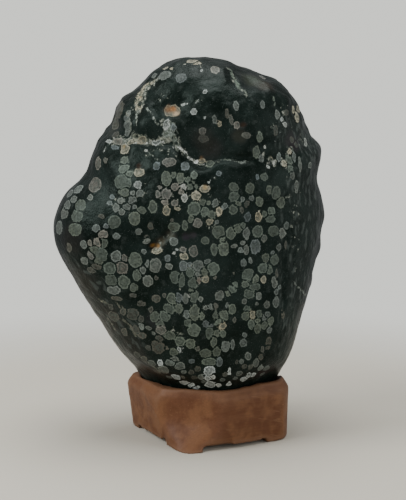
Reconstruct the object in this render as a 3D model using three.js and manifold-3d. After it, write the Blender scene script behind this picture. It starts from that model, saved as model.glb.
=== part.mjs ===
// A scholar's rock resting in a carved wooden stand.
//
// Millimetres, +Z up. The stone's broad face looks along -Y and its width runs along X.
// While it is being shaped, everything is placed about the stand's centre on the table top.
// The finished group is then moved so that the origin is the middle of the footprint.

import * as THREE from 'three';
import { mergeVertices } from 'three/addons/utils/BufferGeometryUtils.js';
import Module from 'manifold-3d';

// ---- Driving dimensions -------------------------------------------------------------------

// Stone: its outline seen from the front, as [x, z] going round from the top of the dome.
const STONE_OUTLINE = [
  [-4, 236], [12, 234], [27, 227.5], [37, 226], [51, 213.5], [61, 198],
  [64, 188], [70.5, 179], [69.5, 164], [73, 143], [70, 117], [64, 94],
  [56, 67], [46, 40], [38, 28], [22, 19.5], [0, 17], [-24, 19.5], [-38, 28],
  [-50.5, 47], [-66, 71], [-81, 96], [-93, 119], [-95.5, 132], [-88.5, 152],
  [-75, 165], [-67.5, 184], [-57.5, 198], [-53.5, 207], [-42, 218], [-28, 230.5], [-18, 235.3],
];
const STONE_CENTRE = [-11, 126];
const FRONT_DEPTH = 53;
const BACK_DEPTH = 50;

// Eight values each, a step of 45 degrees apart, from the right-hand edge anticlockwise.
// Edge depth is how far behind the stand's centre line the outline lies.
const EDGE_DEPTH = [13, 8, 2, 1, 2, 6, 0, -3];
// Fullness is the power of the section: 2 is an ellipse, more is flatter with rounder edges.
const FRONT_FULLNESS = [2.9, 2.6, 2.3, 2.2, 2.3, 2.6, 2.5, 2.7];
const BACK_FULLNESS = [2.2, 2.3, 2.3, 2.2, 2.1, 2.3, 2.3, 2.2];

// Swellings (+) and hollows (-) of the stone: [x, y, z, reach, rise along the surface normal].
const LUMPS = [
  [8, -38, 208, 30, 4],
  [-50, -12, 206, 16, 2],
  [-34, -30, 198, 9, 2.2],
  [-1, -46, 187, 13, -5],
  [-20, -38, 206, 9, -4],
  [27, -18, 223, 12, -2.5],
  [45, -12, 213, 14, 2.5],
  [61, -6, 190, 9, -2],
  [68, 0, 179, 12, 2],
  [70, 2, 164, 9, -2],
  [-20, -52, 150, 34, 3],
  [24, -50, 164, 18, 1.5],
  [-26, -54, 131, 10, -2],
  [-10, -55, 131, 9, -1.5],
  [-50, -46, 128, 18, -2.5],
  [-74, -30, 138, 20, 2],
  [-8, -52, 84, 30, 2],
  [30, -46, 100, 20, 1.5],
  [-20, 46, 180, 26, 4],
  [30, 48, 140, 24, 3.5],
  [-50, 44, 120, 20, -3.5],
  [4, 52, 108, 22, -3],
  [-34, 44, 76, 22, 3],
  [32, 40, 78, 18, 2.5],
  [70, 30, 128, 16, 2],
];

// The furrow that runs across the front below the upper dome, and one over the back.
const FURROWS = [
  {
    reach: 7,
    depth: 3.6,
    path: [
      [-57, -10, 199], [-43, -30, 188], [-32, -38, 185], [-18, -44, 186], [-9, -49, 178],
      [-2, -51, 173], [7, -51, 178], [18, -49, 176], [29, -45, 176], [42, -36, 182],
      [54, -20, 190],
    ],
  },
  {
    reach: 9,
    depth: 3,
    path: [[-62, 20, 176], [-34, 42, 166], [-6, 50, 152], [20, 48, 162], [48, 34, 178]],
  },
];

// Stand: one block, nearly square in plan, turned so that one corner comes forward on the left.
// Each row gives the distance from the axis to eight upright planes, a step of 45 degrees
// apart: right, back right, back, back left, left, front left, front, front right.
const STAND_TURN = THREE.MathUtils.degToRad(28);
const STAND_WALLS = [
  { height: 0, planes: [41.4, 51.0, 37.0, 51.6, 35.3, 32.7, 38.1, 50.8] },
  { height: 1.2, planes: [42.0, 51.6, 37.6, 52.2, 35.9, 33.4, 38.7, 51.4] },
  { height: 29, planes: [44.0, 52.6, 40.2, 54.8, 39.0, 34.0, 38.7, 51.6] },
  { height: 31, planes: [43.7, 52.3, 39.9, 54.4, 38.7, 33.6, 38.4, 51.2] },
  { height: 36.4, planes: [40.8, 48.8, 37.2, 51.0, 35.8, 31.8, 35.5, 47.8] },
];
const STAND_RINGS = [0, 1.2, 3, 5.5, 8.5, 12, 16, 20.5, 25, 29, 31, 33.6, 36.4];
const RIM_HEIGHT = 36.4;
const CORNER_POWER = 38;
// The front left corner is cut well back above, and sweeps out to a full foot below.
const FRONT_LEFT = 5;
const FOOT_SWEEP = 15.3;
const SWEEP_HEIGHT = 18;
const SWEEP_POWER = 1.6;
// The hand-cut top dips between the corners and climbs a little to the right.
const TOP_SAG = 0.7;
const TOP_CLIMB = 0.035;
const LEVEL_BELOW = 8;

// Underside: two channels cross and leave four feet. Each spans [from, to] along its wall.
// A small cove rises above the channel's flat roof beside each foot.
const FOOT_HEIGHT = 2;
const COVE_SPRING = 1.4;
const COVE_RISE = 1.1;
const COVE_LENGTH = 5;
const FRONT_CHANNEL = [-22.5, 22];
const SIDE_CHANNEL = [-13, 26.5];

// The foot of the stone, at the rim, lies inside these upright planes: [bearing in degrees
// anticlockwise from +X, distance from the stand's axis]. It flares above, and the seat that
// is cut for it is eased on the right.
const SEAT_PLANES = [
  [0, 46.5], [28, 38.8], [80, 33.5], [128, 36.5], [180, 45.5], [220, 29], [252, 30],
  [270, 31.6], [307, 32.6],
];
const SEAT_POWER = 14;
const SEAT_FLARE = 1.3;
const SEAT_BLEND = 1.2;
const CLEARANCE = 0.35;
const SEAT_EASE = 1.2;
const EASED_FROM = 22;
const EASED_FULLY = 42;

// How finely things are divided, and how close two points are when they count as one.
const STONE_DETAIL = 16;
const STAND_SEGMENTS = 104;
const OUTLINE_SAMPLES = 7200;
const WELD = 1e-4;

// ---- Small helpers ------------------------------------------------------------------------

const wasm = await Module();
wasm.setup();

function toSolid(geometry) {
  const bare = geometry.clone();
  bare.deleteAttribute('normal');
  bare.deleteAttribute('uv');
  const merged = mergeVertices(bare, WELD);
  const mesh = new wasm.Mesh({
    numProp: 3,
    vertProperties: new Float32Array(merged.attributes.position.array),
    triVerts: new Uint32Array(merged.index.array),
  });
  return new wasm.Manifold(mesh);
}

function toGeometry(solid) {
  const mesh = solid.getMesh();
  const geometry = new THREE.BufferGeometry();
  geometry.setAttribute('position', new THREE.BufferAttribute(mesh.vertProperties, 3));
  geometry.setIndex(new THREE.BufferAttribute(mesh.triVerts, 1));
  geometry.computeVertexNormals();
  return geometry;
}

// A value that changes smoothly round a full turn, given at equal steps of angle.
function around(values, angle) {
  const count = values.length;
  const place = THREE.MathUtils.euclideanModulo(angle / (2 * Math.PI), 1) * count;
  const index = Math.floor(place);
  const t = place - index;
  const [a, b, c, d] = [index - 1, index, index + 1, index + 2].map((i) => {
    return values[THREE.MathUtils.euclideanModulo(i, count)];
  });
  const cubic = (3 * (b - c) + d - a) * t ** 3 + (2 * a - 5 * b + 4 * c - d) * t ** 2;
  return b + (cubic + (c - a) * t) / 2;
}

function hill(distance, reach) {
  return Math.exp(-((distance / reach) ** 2));
}

// Distance from the axis, along a bearing, to a ring of upright planes that meet in eased
// edges. Each plane is [bearing in degrees, distance]; a higher power gives sharper edges.
function ringDistance(planes, bearing, power) {
  let sum = 0;
  for (const [normal, distance] of planes) {
    const facing = Math.max(Math.cos(bearing - THREE.MathUtils.degToRad(normal)), 0);
    sum += (facing / distance) ** power;
  }
  return sum ** (-1 / power);
}

// ---- Stone --------------------------------------------------------------------------------

// The outline as a radius for each whole degree round STONE_CENTRE.
function outlineRadii() {
  const [cx, cz] = STONE_CENTRE;
  const corners = STONE_OUTLINE.map(([x, z]) => new THREE.Vector3(x - cx, z - cz, 0));
  const curve = new THREE.CatmullRomCurve3(corners, true, 'centripetal');
  const radii = new Array(360).fill(0);
  for (const point of curve.getPoints(OUTLINE_SAMPLES)) {
    const degree = THREE.MathUtils.radToDeg(Math.atan2(point.y, point.x));
    radii[THREE.MathUtils.euclideanModulo(Math.round(degree), 360)] = point.length();
  }
  return radii;
}

// Pushes a unit direction out to the smooth body of the stone.
function bodyPoint(direction, radii) {
  const [cx, cz] = STONE_CENTRE;
  const angle = Math.atan2(direction.z, direction.x);
  const flat = Math.hypot(direction.x, direction.z);
  const out = Math.abs(direction.y);
  const front = direction.y < 0;
  const power = around(front ? FRONT_FULLNESS : BACK_FULLNESS, angle);
  const size = (flat ** power + out ** power) ** (-1 / power);
  const reach = flat * size * around(radii, angle);
  const depth = out * size * (front ? -FRONT_DEPTH : BACK_DEPTH);
  return new THREE.Vector3(
    cx + reach * Math.cos(angle),
    depth + (flat * size) ** 2 * around(EDGE_DEPTH, angle),
    cz + reach * Math.sin(angle),
  );
}

// Narrows the foot of the stone so that it enters the seat inside the stand's walls.
function narrowFoot(point) {
  const distance = Math.hypot(point.x, point.y);
  const bearing = Math.atan2(point.y, point.x);
  const above = Math.max(point.z - RIM_HEIGHT, 0);
  const limit = ringDistance(SEAT_PLANES, bearing, SEAT_POWER) + SEAT_FLARE * above;
  const excess = SEAT_BLEND * Math.log1p(Math.exp((distance - limit) / SEAT_BLEND));
  const kept = distance > 0 ? (distance - excess) / distance : 1;
  point.x *= kept;
  point.y *= kept;
}

function distanceToPath(point, path) {
  const line = new THREE.Line3();
  const nearest = new THREE.Vector3();
  let best = Infinity;
  for (let i = 1; i < path.length; i += 1) {
    line.start.fromArray(path[i - 1]);
    line.end.fromArray(path[i]);
    line.closestPointToPoint(point, true, nearest);
    best = Math.min(best, nearest.distanceTo(point));
  }
  return best;
}

// How far the surface stands above (+) or below (-) the smooth body at a point.
function relief(point) {
  let height = 0;
  for (const [x, y, z, reach, rise] of LUMPS) {
    height += rise * hill(point.distanceTo(new THREE.Vector3(x, y, z)), reach);
  }
  for (const furrow of FURROWS) {
    height -= furrow.depth * hill(distanceToPath(point, furrow.path), furrow.reach);
  }
  return height;
}

function moveAlongNormals(geometry, amountAt) {
  geometry.computeVertexNormals();
  const place = geometry.attributes.position;
  const normals = geometry.attributes.normal;
  const point = new THREE.Vector3();
  const normal = new THREE.Vector3();
  for (let i = 0; i < place.count; i += 1) {
    point.fromBufferAttribute(place, i);
    normal.fromBufferAttribute(normals, i);
    point.addScaledVector(normal, amountAt(point));
    place.setXYZ(i, point.x, point.y, point.z);
  }
}

function stoneGeometry() {
  const ball = new THREE.IcosahedronGeometry(1, STONE_DETAIL);
  ball.deleteAttribute('normal');
  ball.deleteAttribute('uv');
  const geometry = mergeVertices(ball, WELD);
  const radii = outlineRadii();
  const place = geometry.attributes.position;
  const direction = new THREE.Vector3();
  for (let i = 0; i < place.count; i += 1) {
    direction.fromBufferAttribute(place, i).normalize();
    const point = bodyPoint(direction, radii);
    narrowFoot(point);
    place.setXYZ(i, point.x, point.y, point.z);
  }
  moveAlongNormals(geometry, relief);
  return geometry;
}

// The same stone, larger by the clearance all round: it cuts the seat.
function stoneCutter(stone) {
  const cutter = stone.clone();
  moveAlongNormals(cutter, (point) => {
    return CLEARANCE + SEAT_EASE * THREE.MathUtils.smoothstep(point.x, EASED_FROM, EASED_FULLY);
  });
  return cutter;
}

// ---- Stand --------------------------------------------------------------------------------

// The ring of eight wall planes at a height.
function wallPlanes(height) {
  const level = THREE.MathUtils.clamp(height, WELD, RIM_HEIGHT - WELD);
  const upper = STAND_WALLS.findIndex((row) => row.height > level);
  const low = STAND_WALLS[upper - 1];
  const high = STAND_WALLS[upper];
  const share = (level - low.height) / (high.height - low.height);
  const planes = low.planes.map((d, i) => [45 * i, THREE.MathUtils.lerp(d, high.planes[i], share)]);
  const risen = Math.min(level / SWEEP_HEIGHT, 1);
  planes[FRONT_LEFT][1] += FOOT_SWEEP * (1 - risen) ** SWEEP_POWER;
  return planes;
}

// How far the hand-cut top stands above or below its level.
function topLift(x, angle, height) {
  const share = THREE.MathUtils.smoothstep(height, LEVEL_BELOW, RIM_HEIGHT);
  return share * (TOP_CLIMB * x - TOP_SAG * (Math.cos(4 * angle) + 1) / 2);
}

function blockGeometry() {
  const profile = [new THREE.Vector2(0, 0)];
  for (const height of STAND_RINGS) {
    profile.push(new THREE.Vector2(1, height));
  }
  profile.push(new THREE.Vector2(0, RIM_HEIGHT));
  const geometry = new THREE.LatheGeometry(profile, STAND_SEGMENTS);
  geometry.rotateX(Math.PI / 2);
  const place = geometry.attributes.position;
  for (let i = 0; i < place.count; i += 1) {
    const height = place.getZ(i);
    const onWall = Math.hypot(place.getX(i), place.getY(i)) > WELD;
    if (onWall) {
      const angle = Math.atan2(place.getY(i), place.getX(i));
      const wall = ringDistance(wallPlanes(height), angle, CORNER_POWER);
      const x = wall * Math.cos(angle);
      place.setXYZ(i, x, wall * Math.sin(angle), height + topLift(x, angle, height));
    }
  }
  return geometry;
}

// Half of the channel's roof line, from a foot to the plain roof: up the foot's side, over a
// small cove, and down to the roof. Direction is +1 away from a left foot, -1 from a right one.
function addCove(shape, foot, direction) {
  const crown = FOOT_HEIGHT + COVE_RISE;
  const at = (share) => foot + direction * share * COVE_LENGTH;
  if (direction < 0) {
    shape.quadraticCurveTo(foot, crown, at(0.4), crown);
    shape.quadraticCurveTo(at(0.8), crown, at(1), FOOT_HEIGHT);
  } else {
    shape.lineTo(at(1), FOOT_HEIGHT);
    shape.quadraticCurveTo(at(0.8), crown, at(0.4), crown);
    shape.quadraticCurveTo(foot, crown, foot, COVE_SPRING);
  }
}

// A shallow channel under the block, from wall to wall, that leaves a foot on each side of it.
function channelGeometry(from, to) {
  const length = 4 * STAND_WALLS[0].planes[0];
  const shape = new THREE.Shape();
  shape.moveTo(from, -FOOT_HEIGHT);
  shape.lineTo(to, -FOOT_HEIGHT);
  shape.lineTo(to, COVE_SPRING);
  addCove(shape, to, -1);
  addCove(shape, from, 1);
  const options = { depth: length, bevelEnabled: false, curveSegments: 4 };
  const geometry = new THREE.ExtrudeGeometry(shape, options);
  geometry.translate(0, 0, -length / 2);
  geometry.rotateX(Math.PI / 2);
  return geometry;
}

function standGeometry(cutter) {
  const acrossFront = channelGeometry(...FRONT_CHANNEL);
  const acrossSide = channelGeometry(...SIDE_CHANNEL);
  acrossSide.rotateZ(Math.PI / 2);
  const block = toSolid(blockGeometry())
    .subtract(toSolid(acrossFront))
    .subtract(toSolid(acrossSide));
  const turned = toGeometry(block);
  turned.rotateZ(STAND_TURN);
  return toGeometry(toSolid(turned).subtract(toSolid(cutter)));
}

// ---- The object ---------------------------------------------------------------------------

const stone = stoneGeometry();
const stand = standGeometry(stoneCutter(stone));

const stoneMaterial = new THREE.MeshStandardMaterial({
  color: 0x2b332f,
  roughness: 0.45,
  metalness: 0,
});
const woodMaterial = new THREE.MeshStandardMaterial({
  color: 0x6b4836,
  roughness: 0.55,
  metalness: 0,
});

const stoneMesh = new THREE.Mesh(stone, stoneMaterial);
stoneMesh.name = 'stone';
const standMesh = new THREE.Mesh(stand, woodMaterial);
standMesh.name = 'stand';

const object = new THREE.Group();
object.add(stoneMesh, standMesh);

// The origin goes to the middle of the footprint, on the table top.
const box = new THREE.Box3().setFromObject(object);
const middle = box.getCenter(new THREE.Vector3());
object.position.set(-middle.x, -middle.y, -box.min.z);
object.updateMatrixWorld(true);

export default object;
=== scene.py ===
import math
import random

import bmesh
import bpy
import numpy as np
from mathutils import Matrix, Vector, noise
from mathutils.bvhtree import BVHTree


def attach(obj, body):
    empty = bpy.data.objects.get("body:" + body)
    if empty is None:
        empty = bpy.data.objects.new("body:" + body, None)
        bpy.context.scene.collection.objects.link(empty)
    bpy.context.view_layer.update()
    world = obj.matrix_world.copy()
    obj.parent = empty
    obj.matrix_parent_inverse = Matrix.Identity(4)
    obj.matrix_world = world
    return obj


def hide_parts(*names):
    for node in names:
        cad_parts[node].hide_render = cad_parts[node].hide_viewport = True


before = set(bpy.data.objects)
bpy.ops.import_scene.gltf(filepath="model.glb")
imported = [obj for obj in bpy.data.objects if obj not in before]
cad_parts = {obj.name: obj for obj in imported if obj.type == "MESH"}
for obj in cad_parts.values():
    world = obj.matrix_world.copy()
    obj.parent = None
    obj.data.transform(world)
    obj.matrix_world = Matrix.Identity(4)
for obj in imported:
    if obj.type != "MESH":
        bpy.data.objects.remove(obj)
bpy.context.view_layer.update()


# ---- Camera -------------------------------------------------------------------------------
# It stands at desk height in front of the stone and looks down at it a little, from far
# enough away that the stone keeps its proportions.

MM = 0.001
CAMERA_PLACE = (8.8, -740.9, 221.5)
CAMERA_DIP = math.radians(8)
CAMERA_LENS = 86.4

camera = bpy.data.objects.new("camera", bpy.data.cameras.new("camera"))
camera.data.lens = CAMERA_LENS
camera.location = Vector(CAMERA_PLACE) * MM
camera.rotation_euler = (math.pi / 2 - CAMERA_DIP, 0, 0)
bpy.context.scene.collection.objects.link(camera)
bpy.context.scene.camera = camera


# ---- Stone --------------------------------------------------------------------------------
# One water-worn river stone, softly polished all over, that rests in the stand by its weight.
# Its large form comes with the frame. Its small hollows, slots and ridges are cut here, and its
# spots, veins and stains are kept on the mesh, where its finish reads them.

JOIN_WITHIN = 0.001
ALL_ROUND_CUTS = 3
FRONT_CUTS = 1
FRONT_FROM = -0.3  # faces that turn forward by more than this are divided once more
FIRST_SMOOTHING = 16
LAST_SMOOTHING = 6
IN_FRONT = -200  # in front of everything, in millimetres


def merged_copy(node):
    """A bmesh of a frame node with its loose triangles joined up."""
    shape = bmesh.new()
    shape.from_mesh(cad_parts[node].data)
    bmesh.ops.remove_doubles(shape, verts=shape.verts, dist=JOIN_WITHIN * MM)
    return shape


def smooth(shape, times, verts=None):
    for _ in range(times):
        bmesh.ops.smooth_vert(
            shape, verts=verts or shape.verts, factor=0.5,
            use_axis_x=True, use_axis_y=True, use_axis_z=True
        )


def make_piece(name, shape):
    mesh = bpy.data.meshes.new(name)
    shape.to_mesh(mesh)
    shape.free()
    mesh.shade_smooth()
    piece = bpy.data.objects.new(name, mesh)
    bpy.context.scene.collection.objects.link(piece)
    return piece


def mesh_points(mesh):
    """Where the mesh's points are, in millimetres, one row each."""
    flat = np.empty(len(mesh.vertices) * 3)
    mesh.vertices.foreach_get("co", flat)
    return flat.reshape(-1, 3) / MM


def mesh_normals(mesh):
    flat = np.empty(len(mesh.vertices) * 3)
    mesh.vertex_normals.foreach_get("vector", flat)
    return flat.reshape(-1, 3)


def push_out(mesh, rise):
    """Moves each point along its normal by its own amount in millimetres."""
    moved = mesh_points(mesh) + mesh_normals(mesh) * rise[:, None]
    mesh.vertices.foreach_set("co", (moved * MM).ravel())
    mesh.update()


def rough_field(points, size, octaves=3):
    """Smooth random values, about -1 to 1, that change over the given size in millimetres."""
    return np.array([noise.fractal(Vector(p) / size, 1.0, 2.0, octaves) for p in points])


def random_shifts(points, size):
    """Smooth random directions, mostly under 1 long, that change over the given size."""
    return np.array([noise.noise_vector(Vector(p) / size) for p in points])


def path_distance(points, path):
    """Distance from each point to a line through the given places."""
    best = np.full(len(points), 1e9)
    for start, end in zip(path[:-1], path[1:]):
        run = end - start
        along = np.clip((points - start) @ run / (run @ run), 0, 1)
        best = np.minimum(best, np.linalg.norm(points - start - along[:, None] * run, axis=1))
    return best


stone_shape = merged_copy("stone")
bmesh.ops.subdivide_edges(
    stone_shape, edges=stone_shape.edges, cuts=ALL_ROUND_CUTS, use_grid_fill=True, smooth=1.0
)
smooth(stone_shape, FIRST_SMOOTHING)
stone_shape.normal_update()
front_edges = {
    edge for face in stone_shape.faces if face.normal.y < FRONT_FROM for edge in face.edges
}
bmesh.ops.subdivide_edges(
    stone_shape, edges=sorted(front_edges, key=lambda edge: edge.index), cuts=FRONT_CUTS,
    use_grid_fill=True, smooth=1.0
)
bmesh.ops.triangulate(stone_shape, faces=stone_shape.faces)
smooth(stone_shape, LAST_SMOOTHING)
stone_skin = BVHTree.FromBMesh(stone_shape)
stone = make_piece("polished_stone", stone_shape)


def seen_from_front(skin, x, z):
    """The first place on a piece, in metres, straight behind x and z, or None beside the piece."""
    return skin.ray_cast(Vector((x, IN_FRONT, z)) * MM, Vector((0, 1, 0)))[0]


def on_front(x, z):
    """The place on the stone's front at x and z, or else the nearest one, in millimetres."""
    hit = seen_from_front(stone_skin, x, z)
    if hit is None:
        hit = stone_skin.find_nearest(Vector((x, 0, z)) * MM)[0]
    return np.array(hit) / MM


def front_path(places):
    return [on_front(x, z) for x, z in places]


def streaks(points, run, width, length):
    """Smooth random values, drawn out along one direction."""
    along = np.array(run) / np.linalg.norm(run)
    drawn = points - (1 - width / length) * (points @ along)[:, None] * along
    return rough_field(drawn, width, 2)


def step_up(values, low, high):
    share = np.clip((values - low) / (high - low), 0, 1)
    return share * share * (3 - 2 * share)


# Small hollows (-) and swellings (+): x, z, reach and rise. Where x lies past the stone's edge, as
# in those at 86 and 90, the nearest place on its right side is meant.
SMALL_LUMPS = [
    (-24, 197, 7.5, 1.8), (-9.4, 204.5, 4.6, -1.0), (-3, 208, 10, -1.6), (-15, 207, 5, -0.8),
    (-14, 193, 5, -0.9), (12, 184, 12, -1.6), (60, 182, 6, 0.8), (-28.3, 171.6, 2.6, -0.9),
    (8.6, 178.6, 2.6, -0.7), (-38, 192, 4, -0.7), (-13, 190, 5, -0.6), (-42, 204, 5, 0.7),
    (-19.5, 126, 3, -1.1), (3, 133, 3, -0.6), (-47, 190, 3.5, -0.6), (44, 174, 6, 0.7),
    (31, 196, 2.4, -0.7), (-18, 213, 6, -0.6), (57, 175, 3, -0.7), (90, 138, 7, 1.2),
    (90, 117, 6, 1.3), (90, 105, 5, -1.3), (86, 94, 6, 0.9), (86, 78, 7, -0.6),
    (20, 105, 12, -0.5), (-20, 98, 8, -0.4), (38, 92, 6, 0.4), (-58, 144, 6, -0.5),
]
# Slots and grooves (+) and ridges (-): reach, depth and the places that each runs through.
GROOVES = [
    (2.0, 2.2, [(-21, 126), (-15, 130.5), (-9, 136)]),
    (2.2, 0.8, [(-5, 131.6), (0, 133), (5, 134.4)]),
    (2.6, 1.9, [
        (-44, 196), (-34, 188), (-22, 186), (-8, 186), (-1, 178), (8, 173), (18, 178), (36, 177)
    ]),
    (4.5, -0.6, [(-12, 180), (-4, 174), (4, 168), (14, 169), (24, 172), (36, 171)]),
    (1.6, 0.7, [(-29, 216), (-27, 208), (-30, 200), (-32, 190)]),
    (1.5, 0.6, [(-20, 206), (-17, 199), (-15, 190)]),
    (2.4, 0.3, [(58, 168), (56, 150), (57, 132), (55, 112), (56, 92)]),
]
# The right flank and the lower left one were worn along the stone's own grain. Each pair says
# where a flank, the upper lumps or the foot start to change and where the change is complete.
RIGHT_GRAIN = (0.06, 0.1, 1)
RIGHT_EDGE = (44, 56)
RIGHT_BOTTOM = (38, 60)
RIGHT_TOP = (196, 212)
LEFT_GRAIN = (0.75, -0.2, -0.6)
LEFT_EDGE = (18, 30)
LEFT_TOP = (108, 132)
LUMPY_FROM = (150, 185)
FOOT_TOP = (24, 42)


def flank_shares(mesh):
    """How much each point belongs to the right flank and to the lower left one, from 0 to 1."""
    points, facing = mesh_points(mesh), mesh_normals(mesh)
    in_front = step_up(-facing[:, 1], -0.5, -0.2)
    across, height = points[:, 0], points[:, 2]
    right = step_up(facing[:, 0], 0.42, 0.72) * step_up(across, *RIGHT_EDGE)
    right *= step_up(height, *RIGHT_BOTTOM) * (1 - step_up(height, *RIGHT_TOP)) * in_front
    left = step_up(-facing[:, 0] - 0.5 * facing[:, 2], 0.42, 0.70) * step_up(-across, *LEFT_EDGE)
    left *= (1 - step_up(height, *LEFT_TOP)) * in_front
    return right, left


places = mesh_points(stone.data)
right_flank, left_flank = flank_shares(stone.data)

# The whole stone is a little uneven. Its upper part is more lumpy, with soft crests where the
# random values pass through nought.
rise = 0.35 * rough_field(places, 22) + 0.16 * rough_field(places, 9) + 0.05 * rough_field(places, 3)
lumpy = 0.25 + 0.75 * step_up(places[:, 2], *LUMPY_FROM)
from_crest = np.sqrt(rough_field(places + 30, 17, 1) ** 2 + 0.05**2)
rise += lumpy * (0.45 * rough_field(places + 50, 13, 2) + 0.28 * rough_field(places + 90, 6, 2))
rise += 2.4 * lumpy * (0.2 - from_crest)
rise += 0.26 * right_flank * streaks(places, RIGHT_GRAIN, 4.2, 11)
rise += 0.16 * left_flank * streaks(places, LEFT_GRAIN, 4, 9)

for x, z, reach, amount in SMALL_LUMPS:
    away = np.linalg.norm(places - on_front(x, z), axis=1)
    rise += amount * np.exp(-((away / reach) ** 2))
for reach, depth, route in GROOVES:
    rise -= depth * np.exp(-((path_distance(places, front_path(route)) / reach) ** 2))

# The foot keeps the form that the seat was cut to.
push_out(stone.data, rise * step_up(places[:, 2], *FOOT_TOP))

# The markings are placed on the skin as it is now, hollows and all.
stone_shape = bmesh.new()
stone_shape.from_mesh(stone.data)
stone_skin = BVHTree.FromBMesh(stone_shape)
stone_shape.free()


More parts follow.
